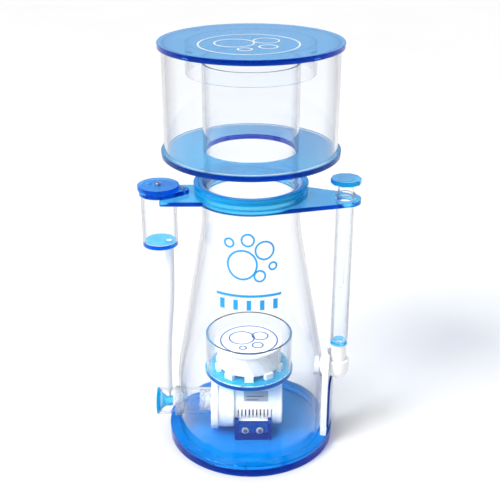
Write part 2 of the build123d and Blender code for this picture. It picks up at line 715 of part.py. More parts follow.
with BuildPart() as cover_screws:
    with BuildSketch(pump_plane(COVER_X)):
        with PolarLocations(COVER_SCREW_R, 4, start_angle=45):
            Circle(2.6)
    extrude(amount=-2.0)
    with BuildSketch(pump_plane(COVER_X)):
        with PolarLocations(COVER_SCREW_R, 4, start_angle=45):
            Circle(1.3)
    extrude(amount=17)
    with BuildSketch(pump_plane(COVER_X - 2.0)):
        with PolarLocations(COVER_SCREW_R, 4, start_angle=45):
            Rectangle(3.6, 0.7)
            Rectangle(0.7, 3.6)
    extrude(amount=1.0, mode=Mode.SUBTRACT)
cover_screws.part.label = "cover_screws"
export_step(cover_screws.part, "parts/cover_screws.step")

NOZZLE_FOOT = 88.0
NOZZLE_COLLAR = 99.2

with BuildPart() as pump_nozzle:
    with BuildSketch(at(NOZZLE_X, NOZZLE_Y, NOZZLE_FOOT)):
        Circle(NOZZLE_R)
    extrude(amount=PLATE_TOP + 2 - NOZZLE_FOOT)
    with BuildSketch(at(NOZZLE_X, NOZZLE_Y, NOZZLE_COLLAR)):
        Circle(13.0)
    extrude(amount=PLATE_BOTTOM - NOZZLE_COLLAR)
    with BuildSketch(at(NOZZLE_X, NOZZLE_Y, NOZZLE_FOOT)):
        Circle(7.4)
    extrude(amount=40, mode=Mode.SUBTRACT)
    with BuildSketch(pump_plane(NOZZLE_X - 20)):
        Circle(CHAMBER_R)
    extrude(amount=40, mode=Mode.SUBTRACT)
pump_nozzle.part.label = "pump_nozzle"
export_step(pump_nozzle.part, "parts/pump_nozzle.step")

FOOT_FRONT = -45.6
FOOT_BACK = 10.0
FOOT_X = (-18.2, 25.4)
FOOT_RIB_BACK = -31.0
FOOT_RIB_TOP = 42.5
SLOT_PITCH = 5.6
SLOT_Z = 55.5
BRACKET_SCREWS = [(-8.9, 30.1), (13.3, 30.1)]
STATOR_X = -19.0
STATOR_END_X = 26.0
STATOR_R = 28.9
STATOR_BORE = 15.1

with BuildPart() as motor_body:
    with BuildSketch(pump_plane(MOTOR_X)):
        Circle(MOTOR_R)
    extrude(amount=CAP_X - MOTOR_X)
    with BuildSketch(pump_plane(FOOT_X[0])):
        with Locations((FOOT_FRONT - PUMP_Y, SHELF_TOP - PUMP_Z)):
            Rectangle(FOOT_BACK - FOOT_FRONT, 9, align=(Align.MIN, Align.MIN))
            Rectangle(FOOT_RIB_BACK - FOOT_FRONT, FOOT_RIB_TOP - SHELF_TOP, align=(Align.MIN, Align.MIN))
    extrude(amount=FOOT_X[1] - FOOT_X[0])
    with BuildSketch(Plane.XZ.offset(-FOOT_FRONT)):
        with Locations(BRACKET_SCREWS):
            Circle(2.1)
    extrude(amount=-12, mode=Mode.SUBTRACT)
    with BuildSketch(Plane.XZ.offset(-PUMP_Y + MOTOR_R + 2)):
        with Locations(((MOTOR_X + CAP_X) / 2 + 1.4, SLOT_Z)):
            with GridLocations(SLOT_PITCH, 1, 10, 1):
                SlotOverall(15.0, 2.1, rotation=90)
    extrude(amount=-7.6, mode=Mode.SUBTRACT)
    with BuildSketch(pump_plane(MOTOR_X)):
        Circle(ROTOR_BORE)
    extrude(amount=53, mode=Mode.SUBTRACT)
    with BuildSketch(pump_plane(STATOR_X)):
        Circle(STATOR_R + 0.1)
        Circle(STATOR_BORE - 0.1, mode=Mode.SUBTRACT)
    extrude(amount=STATOR_END_X - STATOR_X, mode=Mode.SUBTRACT)
motor_body.part.label = "motor_body"
export_step(motor_body.part, "parts/motor_body.step")

with BuildPart() as stator_core:
    with BuildSketch(pump_plane(STATOR_X)):
        Circle(STATOR_R)
        Circle(STATOR_BORE, mode=Mode.SUBTRACT)
    extrude(amount=STATOR_END_X - STATOR_X)
stator_core.part.label = "stator_core"
export_step(stator_core.part, "parts/stator_core.step")

LABEL_LOW = 31.0
LABEL_SPAN = 27.0

with BuildPart() as rating_plate:
    with BuildSketch(pump_plane(-11.0)):
        with BuildLine():
            skin = CenterArc((0, 0), MOTOR_R + 0.5, 180 - LABEL_LOW - LABEL_SPAN, LABEL_SPAN)
            back = CenterArc((0, 0), MOTOR_R, 180 - LABEL_LOW - LABEL_SPAN, LABEL_SPAN)
            Line(skin @ 0, back @ 0)
            Line(skin @ 1, back @ 1)
        make_face()
    extrude(amount=37)
rating_plate.part.label = "rating_plate"
export_step(rating_plate.part, "parts/rating_plate.step")

with BuildPart() as motor_end_cap:
    with BuildSketch(pump_plane(CAP_X)):
        Circle(MOTOR_R + 1.0)
    extrude(amount=PUMP_END_X - CAP_X)
    fillet(motor_end_cap.faces().sort_by(Axis.X)[-1].edges(), radius=3.0)
    with BuildSketch(pump_plane(CAP_X + 2.5)):
        Circle(MOTOR_R + 5)
        Circle(MOTOR_R + 0.3, mode=Mode.SUBTRACT)
    extrude(amount=1.0, mode=Mode.SUBTRACT)
motor_end_cap.part.label = "motor_end_cap"
export_step(motor_end_cap.part, "parts/motor_end_cap.step")

GLAND_X = 41.0


def gland_plane(reach):
    """Plane across the cable gland, which points back from the end cap, at reach from the pump's axis."""
    return Plane(origin=(GLAND_X, PUMP_Y + reach, PUMP_Z), x_dir=(1, 0, 0), z_dir=(0, 1, 0))


with BuildPart() as cable_gland:
    with BuildSketch(gland_plane(MOTOR_R - 0.5)):
        RegularPolygon(6.5, 6)
    extrude(amount=6)
    with BuildSketch(gland_plane(MOTOR_R + 5.5)):
        Circle(4.6)
    extrude(amount=6, taper=6)
    with BuildSketch(gland_plane(MOTOR_R + 11.5)):
        Circle(2.4)
    extrude(amount=-8, mode=Mode.SUBTRACT)
    with BuildSketch(pump_plane(GLAND_X - 10)):
        Circle(MOTOR_R + 1.0)
    extrude(amount=20, mode=Mode.SUBTRACT)
cable_gland.part.label = "cable_gland"
export_step(cable_gland.part, "parts/cable_gland.step")

# ---------------------------------------------------------------- pump bracket
BRACKET_X = (-24.8, 31.2)
BRACKET_FRONT = -52.0
BRACKET_PLATE_TOP = 43.3
SHELF_BACK = 28.0
LUG_TOP = 49.0
LUG_W = 6.0
WASHER_T = 0.9

with BuildPart() as pump_shelf:
    with BuildSketch(Plane.XY.offset(BASE_T)):
        with Locations((BRACKET_X[0], BRACKET_FRONT + SHEET)):
            Rectangle(BRACKET_X[1] - BRACKET_X[0], SHELF_BACK - BRACKET_FRONT - SHEET, align=(Align.MIN, Align.MIN))
    extrude(amount=SHELF_TOP - BASE_T)
pump_shelf.part.label = "pump_shelf"
export_step(pump_shelf.part, "parts/pump_shelf.step")


def bracket_front(y):
    """Upright plane at y, facing the front: its own x is +X and its own y is +Z."""
    return Plane.XZ.offset(-y)


with BuildPart() as pump_front_plate:
    with BuildSketch(bracket_front(BRACKET_FRONT)):
        with Locations((BRACKET_X[0], BASE_T)):
            Rectangle(BRACKET_X[1] - BRACKET_X[0], BRACKET_PLATE_TOP - BASE_T, align=(Align.MIN, Align.MIN))
            Rectangle(LUG_W, LUG_TOP - BASE_T, align=(Align.MIN, Align.MIN))
        with Locations((BRACKET_X[1], BASE_T)):
            Rectangle(LUG_W, LUG_TOP - BASE_T, align=(Align.MAX, Align.MIN))
        with Locations(BRACKET_SCREWS):
            Circle(2.1, mode=Mode.SUBTRACT)
    extrude(amount=-SHEET)
pump_front_plate.part.label = "pump_front_plate"
export_step(pump_front_plate.part, "parts/pump_front_plate.step")

with BuildPart() as bracket_washers:
    with BuildSketch(bracket_front(BRACKET_FRONT)):
        with Locations(BRACKET_SCREWS):
            Circle(5.4)
            Circle(2.1, mode=Mode.SUBTRACT)
    extrude(amount=WASHER_T)
bracket_washers.part.label = "bracket_washers"
export_step(bracket_washers.part, "parts/bracket_washers.step")

SCREW_SEAT = BRACKET_FRONT - WASHER_T

with BuildPart() as bracket_screws:
    with BuildSketch(bracket_front(SCREW_SEAT)):
        with Locations(BRACKET_SCREWS):
            Circle(3.2)
    extrude(amount=2.4)
    fillet(bracket_screws.faces().group_by(Axis.Y)[0].edges(), radius=1.1)
    with BuildSketch(bracket_front(SCREW_SEAT)):
        with Locations(BRACKET_SCREWS):
            Circle(2.05)
    extrude(amount=-18)
    with BuildSketch(bracket_front(SCREW_SEAT - 2.4)):
        with Locations(BRACKET_SCREWS):
            RegularPolygon(1.6, 6)
    extrude(amount=-1.6, mode=Mode.SUBTRACT)
bracket_screws.part.label = "bracket_screws"
export_step(bracket_screws.part, "parts/bracket_screws.step")

# ---------------------------------------------------------------- pump rotor
SHAFT_START_X = -59.8
SHAFT_END_X = 27.8

with BuildPart() as rotor_shaft:
    with BuildSketch(pump_plane(SHAFT_START_X)):
        Circle(SHAFT_R)
    extrude(amount=SHAFT_END_X - SHAFT_START_X)
    chamfer(rotor_shaft.edges().filter_by(GeomType.CIRCLE), length=0.4)
rotor_shaft.part.label = "rotor_shaft"
export_step(rotor_shaft.part, "parts/rotor_shaft.step")

with BuildPart() as shaft_bushes:
    with BuildSketch(pump_plane(COVER_X)):
        Circle(BUSH_R)
        Circle(SHAFT_R, mode=Mode.SUBTRACT)
    extrude(amount=5.0)
    with BuildSketch(pump_plane(23.0)):
        Circle(ROTOR_BORE)
        Circle(SHAFT_R, mode=Mode.SUBTRACT)
    extrude(amount=4.8)
shaft_bushes.part.label = "shaft_bushes"
export_step(shaft_bushes.part, "parts/shaft_bushes.step")

with BuildPart() as rotor_magnet:
    with BuildSketch(pump_plane(-23.0)):
        Circle(11.6)
        Circle(SHAFT_R + SHAFT_PLAY, mode=Mode.SUBTRACT)
    extrude(amount=44)
rotor_magnet.part.label = "rotor_magnet"
export_step(rotor_magnet.part, "parts/rotor_magnet.step")

NEEDLE_RINGS = [(13.0, 8), (18.5, 12), (24.0, 16), (28.5, 20)]

with BuildPart() as needle_wheel:
    with BuildSketch(pump_plane(-33.0)):
        Circle(30.5)
    extrude(amount=2.4)
    with BuildSketch(pump_plane(-46.0)):
        Circle(6.5)
    extrude(amount=23)
    with BuildSketch(pump_plane(-47.0)):
        for ring_r, needles in NEEDLE_RINGS:
            with PolarLocations(ring_r, needles):
                Circle(0.9)
    extrude(amount=14)
    with BuildSketch(pump_plane(-48.0)):
        Circle(SHAFT_R + SHAFT_PLAY)
    extrude(amount=26, mode=Mode.SUBTRACT)
needle_wheel.part.label = "needle_wheel"
export_step(needle_wheel.part, "parts/needle_wheel.step")

# ---------------------------------------------------------------- bubble plate
with BuildPart() as bubble_plate:
    with BuildSketch(at(PLATE_X, 0, PLATE_BOTTOM)):
        Circle(PLATE_R)
        with Locations((NOZZLE_X - PLATE_X, NOZZLE_Y)):
            Circle(NOZZLE_R + 0.05, mode=Mode.SUBTRACT)
    extrude(amount=PLATE_TOP - PLATE_BOTTOM)
    chamfer(rims(bubble_plate, 60), length=FINE_EDGE)
bubble_plate.part.label = "bubble_plate"
export_step(bubble_plate.part, "parts/bubble_plate.step")

RING_PINS = 12

PIN_R = 0.9
PIN_T = 2.6

with BuildPart() as bubble_ring:
    with BuildSketch(at(PLATE_X, 0, PLATE_TOP)):
        Circle(BUBBLE_RING_R)
        Circle(BUBBLE_RING_R - 3.0, mode=Mode.SUBTRACT)
        with PolarLocations(BUBBLE_RING_R - 1.5, RING_PINS, start_angle=22):
            Circle(PIN_R, mode=Mode.SUBTRACT)
    extrude(amount=PIN_T)
    with BuildSketch(at(PLATE_X, 0, PLATE_TOP + PIN_T)):
        Circle(BUBBLE_RING_R)
        Circle(BUBBLE_RING_R - 3.0, mode=Mode.SUBTRACT)
    extrude(amount=BUBBLE_RING_TOP - PLATE_TOP - PIN_T)
bubble_ring.part.label = "bubble_ring"
export_step(bubble_ring.part, "parts/bubble_ring.step")

with BuildPart() as bubble_ring_pins:
    with BuildSketch(at(PLATE_X, 0, PLATE_TOP)):
        with PolarLocations(BUBBLE_RING_R - 1.5, RING_PINS, start_angle=22):
            Circle(PIN_R)
    extrude(amount=PIN_T)
bubble_ring_pins.part.label = "bubble_ring_pins"
export_step(bubble_ring_pins.part, "parts/bubble_ring_pins.step")

TOOTH_TOP = PLATE_TOP + 7.0
RIBS = 16
RIB_SLANT = 28.0

with BuildPart() as diffuser_drum:
    with BuildSketch(at(PLATE_X, 0, TOOTH_TOP)):
        Circle(DRUM_R)
        Circle(DRUM_R - 2.4, mode=Mode.SUBTRACT)
    extrude(amount=DRUM_TOP - TOOTH_TOP)
    with BuildSketch(at(PLATE_X, 0, PLATE_TOP)):
        with PolarLocations(DRUM_R + 1.5, TEETH, start_angle=-90):
            Rectangle(7.0, 13.0)
    extrude(amount=TOOTH_TOP + 2.0 - PLATE_TOP)
    with Locations((PLATE_X, 0, 0)):
        with PolarLocations(DRUM_R - 0.6, RIBS):
            with Locations(Location((0, 0, (TOOTH_TOP + DRUM_TOP) / 2), (RIB_SLANT, 0, 0))):
                Box(3.4, 2.2, 0.8 * (DRUM_TOP - TOOTH_TOP) / cos(radians(RIB_SLANT)))
diffuser_drum.part.label = "diffuser_drum"
export_step(diffuser_drum.part, "parts/diffuser_drum.step")

with BuildPart() as diffuser_top:
    with BuildSketch(at(PLATE_X, 0, DRUM_TOP)):
        Circle(51.0)
    extrude(amount=4.5)
    fillet(diffuser_top.faces().sort_by(Axis.Z)[-1].edges(), radius=1.5)
diffuser_top.part.label = "diffuser_top"
export_step(diffuser_top.part, "parts/diffuser_top.step")
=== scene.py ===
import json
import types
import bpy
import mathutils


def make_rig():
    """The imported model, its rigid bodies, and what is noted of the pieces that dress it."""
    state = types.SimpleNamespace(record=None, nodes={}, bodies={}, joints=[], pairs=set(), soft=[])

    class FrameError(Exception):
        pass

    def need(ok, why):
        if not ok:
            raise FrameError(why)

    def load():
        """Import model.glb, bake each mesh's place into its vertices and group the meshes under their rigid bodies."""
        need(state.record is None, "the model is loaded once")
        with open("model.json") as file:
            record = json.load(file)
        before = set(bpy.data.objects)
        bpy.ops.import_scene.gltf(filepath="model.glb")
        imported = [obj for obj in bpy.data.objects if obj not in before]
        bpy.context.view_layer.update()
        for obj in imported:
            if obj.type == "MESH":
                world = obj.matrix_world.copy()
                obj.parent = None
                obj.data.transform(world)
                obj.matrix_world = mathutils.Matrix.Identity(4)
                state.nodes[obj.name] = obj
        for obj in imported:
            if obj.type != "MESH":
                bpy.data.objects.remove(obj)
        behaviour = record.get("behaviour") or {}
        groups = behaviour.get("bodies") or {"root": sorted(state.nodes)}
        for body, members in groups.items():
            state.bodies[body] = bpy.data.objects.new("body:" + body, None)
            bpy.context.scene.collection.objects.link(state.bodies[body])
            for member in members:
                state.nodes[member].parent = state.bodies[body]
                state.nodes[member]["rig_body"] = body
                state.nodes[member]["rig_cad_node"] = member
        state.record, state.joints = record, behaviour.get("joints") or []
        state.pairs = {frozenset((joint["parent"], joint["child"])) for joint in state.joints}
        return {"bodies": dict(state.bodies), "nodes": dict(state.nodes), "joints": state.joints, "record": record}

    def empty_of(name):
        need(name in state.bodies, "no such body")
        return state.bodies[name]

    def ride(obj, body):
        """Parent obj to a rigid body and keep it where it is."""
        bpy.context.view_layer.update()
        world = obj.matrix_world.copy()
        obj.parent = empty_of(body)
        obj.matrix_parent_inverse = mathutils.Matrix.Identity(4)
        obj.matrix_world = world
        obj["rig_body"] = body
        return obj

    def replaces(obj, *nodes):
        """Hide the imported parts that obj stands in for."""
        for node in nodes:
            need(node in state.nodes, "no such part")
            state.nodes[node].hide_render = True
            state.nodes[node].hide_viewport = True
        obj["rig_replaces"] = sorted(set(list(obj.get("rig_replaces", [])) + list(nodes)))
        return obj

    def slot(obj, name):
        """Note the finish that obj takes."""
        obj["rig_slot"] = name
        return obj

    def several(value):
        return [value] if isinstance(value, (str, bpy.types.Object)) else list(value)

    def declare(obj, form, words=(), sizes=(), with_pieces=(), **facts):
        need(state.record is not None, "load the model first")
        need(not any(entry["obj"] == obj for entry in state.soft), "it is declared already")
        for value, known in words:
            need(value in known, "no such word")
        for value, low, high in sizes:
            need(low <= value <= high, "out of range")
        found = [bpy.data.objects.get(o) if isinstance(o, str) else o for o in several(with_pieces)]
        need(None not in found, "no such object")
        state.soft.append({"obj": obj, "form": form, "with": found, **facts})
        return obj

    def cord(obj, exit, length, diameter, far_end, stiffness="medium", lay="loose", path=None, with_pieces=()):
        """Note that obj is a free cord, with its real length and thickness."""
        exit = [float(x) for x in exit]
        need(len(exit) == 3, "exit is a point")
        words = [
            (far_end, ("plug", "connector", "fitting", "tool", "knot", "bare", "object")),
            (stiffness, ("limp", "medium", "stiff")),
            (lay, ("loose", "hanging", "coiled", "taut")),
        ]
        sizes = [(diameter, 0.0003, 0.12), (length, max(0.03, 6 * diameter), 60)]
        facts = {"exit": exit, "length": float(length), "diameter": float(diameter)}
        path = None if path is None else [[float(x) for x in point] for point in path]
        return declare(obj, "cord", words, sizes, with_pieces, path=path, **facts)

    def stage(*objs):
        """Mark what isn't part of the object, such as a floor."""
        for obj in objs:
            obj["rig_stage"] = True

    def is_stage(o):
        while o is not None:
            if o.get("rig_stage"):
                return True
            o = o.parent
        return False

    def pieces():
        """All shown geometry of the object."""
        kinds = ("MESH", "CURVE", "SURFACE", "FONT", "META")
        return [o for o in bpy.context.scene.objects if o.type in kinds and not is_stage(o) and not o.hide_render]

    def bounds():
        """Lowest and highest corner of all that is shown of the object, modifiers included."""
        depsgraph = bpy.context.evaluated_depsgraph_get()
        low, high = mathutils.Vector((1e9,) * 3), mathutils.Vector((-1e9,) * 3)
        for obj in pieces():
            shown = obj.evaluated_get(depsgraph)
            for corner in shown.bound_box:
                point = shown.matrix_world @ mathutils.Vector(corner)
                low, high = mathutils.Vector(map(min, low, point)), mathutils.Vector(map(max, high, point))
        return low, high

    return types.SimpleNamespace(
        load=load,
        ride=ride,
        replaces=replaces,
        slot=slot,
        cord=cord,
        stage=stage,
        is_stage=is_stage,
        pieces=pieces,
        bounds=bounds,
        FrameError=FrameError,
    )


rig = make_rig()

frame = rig.load()

import json
import math

import bmesh
import bpy
from mathutils import Vector
from mathutils.bvhtree import BVHTree

cad_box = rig.bounds()
NODES = frame["nodes"]
MM = 0.001

LID_TOP = 0.61             # the lid's top face, in metres above the floor
DIFFUSER_TOP = 0.1595      # the top face of the diffuser's disc
INK_BOTTOM, INK_TOP = 0.00002, 0.00012    # a printed film's two faces, above the surface it lies on
HOSE_DIAMETER = 0.0127
HOSE_LENGTH = 0.242
FLOOR_HALF = 12.0
FLOOR_DROP = 0.0002        # the floor lies this far under the base, so they share no plane

# ---------------------------------------------------------------- scene, camera and light


def studio_settings():
    """Plain colour handling and light paths long enough to see through several walls of acrylic."""
    scene = bpy.context.scene
    scene.view_settings.view_transform = "Standard"
    scene.view_settings.look = "None"
    scene.cycles.max_bounces = 32
    scene.cycles.transmission_bounces = 32
    scene.cycles.glossy_bounces = 8
    scene.cycles.diffuse_bounces = 4
    scene.cycles.transparent_max_bounces = 16
    scene.cycles.sample_clamp_indirect = 6.0
    scene.cycles.use_denoising = True


def make_camera():
    """A camera 1.2 m in front and 0.84 m up, looking down by 24 degrees."""
    data = bpy.data.cameras.new("camera")
    data.sensor_width = 36.0
    data.lens = 64.69
    camera = bpy.data.objects.new("camera", data)
    camera.location = (-0.0015, -1.1916, 0.8402)
    camera.rotation_euler = (math.radians(65.91), 0.0, 0.0)
    bpy.context.scene.collection.objects.link(camera)
    bpy.context.scene.camera = camera


def make_world():
    """A white room. Plain white behind the object and for its light. What the plastic mirrors and
    bends is greyer to the left and right, and what it mirrors is dark in front, as behind a
    photographer."""
    world = bpy.data.worlds.new("studio")
    world.use_nodes = True
    bpy.context.scene.world = world
    tree = world.node_tree
    tree.nodes.clear()
    add, link = tree.nodes.new, tree.links.new
    place = add("ShaderNodeTexCoord")
    split = add("ShaderNodeSeparateXYZ")
    link(place.outputs["Generated"], split.inputs[0])
    side = add("ShaderNodeMath")
    side.operation = "ABSOLUTE"
    link(split.outputs["X"], side.inputs[0])
    bands = add("ShaderNodeValToRGB")
    link(side.outputs[0], bands.inputs["Fac"])
    ramp = bands.color_ramp
    ramp.elements[0].position = 0.0
    ramp.elements[0].color = (1.0, 1.0, 1.0, 1)
    ramp.elements[1].position = 1.0
    ramp.elements[1].color = (0.62, 0.64, 0.72, 1)
    for position, colour in ((0.50, (0.93, 0.94, 0.97, 1)), (0.72, (0.40, 0.43, 0.56, 1)),
                             (0.80, (0.36, 0.39, 0.52, 1)), (0.88, (0.85, 0.87, 0.92, 1))):
        ramp.elements.new(position).color = colour
    bent = add("ShaderNodeBackground")
    link(bands.outputs["Color"], bent.inputs["Color"])
    mirrored = add("ShaderNodeBackground")
    link(bands.outputs["Color"], mirrored.inputs["Color"])
    depth = add("ShaderNodeMapRange")
    link(split.outputs["Y"], depth.inputs["Value"])
    depth.inputs["From Min"].default_value = -0.5
    depth.inputs["From Max"].default_value = 0.6
    depth.inputs["To Min"].default_value = 0.03
    depth.inputs["To Max"].default_value = 0.6
    link(depth.outputs[0], mirrored.inputs["Strength"])
    glow = add("ShaderNodeBackground")
    glow.inputs["Color"].default_value = (1.0, 1.0, 1.0, 1)
    glow.inputs["Strength"].default_value = 0.53
    backdrop = add("ShaderNodeBackground")
    backdrop.inputs["Color"].default_value = (1, 1, 1, 1)
    backdrop.inputs["Strength"].default_value = 1.05
    path = add("ShaderNodeLightPath")
    shown = glow
    for ray, light in (("Is Glossy Ray", mirrored), ("Is Transmission Ray", bent),
                       ("Is Camera Ray", backdrop)):
        mix = add("ShaderNodeMixShader")
        link(path.outputs[ray], mix.inputs[0])
        link(shown.outputs[0], mix.inputs[1])
        link(light.outputs[0], mix.inputs[2])
        shown = mix
    out = add("ShaderNodeOutputWorld")
    link(shown.outputs[0], out.inputs["Surface"])


def key_light(name, direction, angle, strength):
    """Sunlight over the whole scene, from the direction given. angle is how wide the sun looks."""
    data = bpy.data.lights.new(name, "SUN")
    data.energy = strength
    data.angle = angle
    light = bpy.data.objects.new(name, data)
    light.visible_transmission = False
    light.location = direction
    light.rotation_euler = Vector(direction).to_track_quat("Z", "Y").to_euler()
    bpy.context.scene.collection.objects.link(light)


def area_light(name, place, aim, size, power):
    """A white panel of the size given, in metres, at place and turned towards aim."""
    data = bpy.data.lights.new(name, "AREA")
    data.shape = "RECTANGLE"
    data.size, data.size_y = size
    data.energy = power
    light = bpy.data.objects.new(name, data)
    light.visible_transmission = False
    light.location = place
    light.rotation_euler = (Vector(aim) - Vector(place)).to_track_quat("-Z", "Y").to_euler()
    bpy.context.scene.collection.objects.link(light)


# ---------------------------------------------------------------- mesh helpers


def shrink(node):
    """Draws a see-through piece a hair smaller, so that glued faces don't lie in one plane."""
    modifier = NODES[node].modifiers.new("glue_line", "DISPLACE")
    modifier.strength = -0.03 * MM
    modifier.mid_level = 0.0


def tube_along(name, points, radius, body):
    """A round closed tube along the smooth curve that the control points shape, in metres, and the
    points that its centre line passes."""
    data = bpy.data.curves.new(name + "_line", "CURVE")
    data.dimensions = "3D"
    data.bevel_resolution = 12
    data.resolution_u = 24
    data.use_fill_caps = True
    spline = data.splines.new("NURBS")
    spline.points.add(len(points) - 1)
    for point, place in zip(spline.points, points):
        point.co = (*place, 1.0)
    spline.order_u = 3
    spline.use_endpoint_u = True
    line = bpy.data.objects.new(name + "_line", data)
    bpy.context.scene.collection.objects.link(line)
    shape = line.evaluated_get(bpy.context.evaluated_depsgraph_get())
    centre = [tuple(vertex.co) for vertex in bpy.data.meshes.new_from_object(shape).vertices]
    data.bevel_depth = radius
    shape = line.evaluated_get(bpy.context.evaluated_depsgraph_get())
    mesh = bpy.data.meshes.new_from_object(shape)
    bpy.data.objects.remove(line)
    work = bmesh.new()
    work.from_mesh(mesh)
    bmesh.ops.remove_doubles(work, verts=work.verts, dist=1e-6)
    bmesh.ops.recalc_face_normals(work, faces=work.faces)
    for face in work.faces:
        face.smooth = len(face.verts) < 5
    work.to_mesh(mesh)
    work.free()
    piece = bpy.data.objects.new(name, mesh)
    bpy.context.scene.collection.objects.link(piece)
    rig.ride(piece, body)
    return piece, centre


def surface_of(node, direction):
    """A function from a start point to the place and normal where a line from it, in the direction
    given, first meets the node's surface."""
    item = NODES[node]
    places = [item.matrix_world @ vertex.co for vertex in item.data.vertices]
    tree = BVHTree.FromPolygons(places, [tuple(face.vertices) for face in item.data.polygons])

    def find(start):
        place, normal, _, _ = tree.ray_cast(Vector(start), Vector(direction))
        return place, normal
    return find


def ribbon(name, outlines, width, lay, body, material):
    """Printed lines: each outline is a list of 2-D points in metres, drawn width wide as a film
    0.1 mm thick. lay turns a 2-D point and a height above the surface into a place. An outline is
    closed if it ends where it starts."""
    verts, faces = [], []
    for outline in outlines:
        closed = math.dist(outline[0], outline[-1]) < 1e-9
        line = outline[:-1] if closed else outline
        count, first = len(line), len(verts)
        for index, (u, v) in enumerate(line):
            ahead = line[(index + 1) % count] if closed or index + 1 < count else line[index]
            behind = line[index - 1] if closed or index else line[index]
            run = Vector((ahead[0] - behind[0], ahead[1] - behind[1])).normalized()
            half = width / 2
            for side, height in ((1, INK_TOP), (-1, INK_TOP), (-1, INK_BOTTOM), (1, INK_BOTTOM)):
                verts.append(lay(u - side * half * run.y, v + side * half * run.x, height))
        for index in range(count if closed else count - 1):
            a, b = first + 4 * index, first + 4 * ((index + 1) % count)
            for corner in range(4):
                after = (corner + 1) % 4
                faces.append((a + corner, a + after, b + after, b + corner))
        if not closed:
            last = first + 4 * (count - 1)
            faces.append((first + 3, first + 2, first + 1, first))
            faces.append((last, last + 1, last + 2, last + 3))
    mesh = bpy.data.meshes.new(name)
    mesh.from_pydata(verts, [], faces)
    work = bmesh.new()
    work.from_mesh(mesh)
    bmesh.ops.recalc_face_normals(work, faces=work.faces)
    work.to_mesh(mesh)
    work.free()
    mesh.materials.append(material)
    piece = bpy.data.objects.new(name, mesh)
    bpy.context.scene.collection.objects.link(piece)
    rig.ride(piece, body)


def ring(u, v, radius, steps=64):
    """A closed circle of 2-D points round (u, v)."""
    turns = [2 * math.pi * step / steps for step in range(steps)] + [0.0]
    return [(u + radius * math.cos(turn), v + radius * math.sin(turn)) for turn in turns]


def stroke(u0, v0, u1, v1, steps=24):
    """A straight run of 2-D points."""
    return [(u0 + (u1 - u0) * step / steps, v0 + (v1 - v0) * step / steps)
            for step in range(steps + 1)]


# ---------------------------------------------------------------- materials


def node_material(name):
    """An empty node material: itself, its function that adds a node, its function that links two
    sockets, and its output node."""
    material = bpy.data.materials.new(name)
    material.use_nodes = True
    tree = material.node_tree
    tree.nodes.clear()
    out = tree.nodes.new("ShaderNodeOutputMaterial")
    return material, tree.nodes.new, tree.links.new, out


def fine_noise(add, link, scale, detail=4.0, stretch=(1, 1, 1)):
    """Noise in the piece's own coordinates, in metres, stretched by the three factors."""
    place = add("ShaderNodeTexCoord")
    mapping = add("ShaderNodeMapping")
    mapping.inputs["Scale"].default_value = stretch
    noise = add("ShaderNodeTexNoise")
    noise.inputs["Scale"].default_value = scale
    noise.inputs["Detail"].default_value = detail
    link(place.outputs["Object"], mapping.inputs["Vector"])
    link(mapping.outputs[0], noise.inputs["Vector"])
    return noise


def spread(add, link, source, low, high):
    """A value from low to high as the source goes from 0.3 to 0.7."""
    remap = add("ShaderNodeMapRange")
    remap.inputs["From Min"].default_value = 0.3
    remap.inputs["From Max"].default_value = 0.7
    remap.inputs["To Min"].default_value = low
    remap.inputs["To Max"].default_value = high
    link(source, remap.inputs["Value"])
    return remap.outputs[0]


def bump(add, link, source, strength, distance):
    """A normal for a surface that rises and falls with the source."""
    node = add("ShaderNodeBump")
    node.inputs["Strength"].default_value = strength
    node.inputs["Distance"].default_value = distance
    link(source, node.inputs["Height"])
    return node.outputs[0]


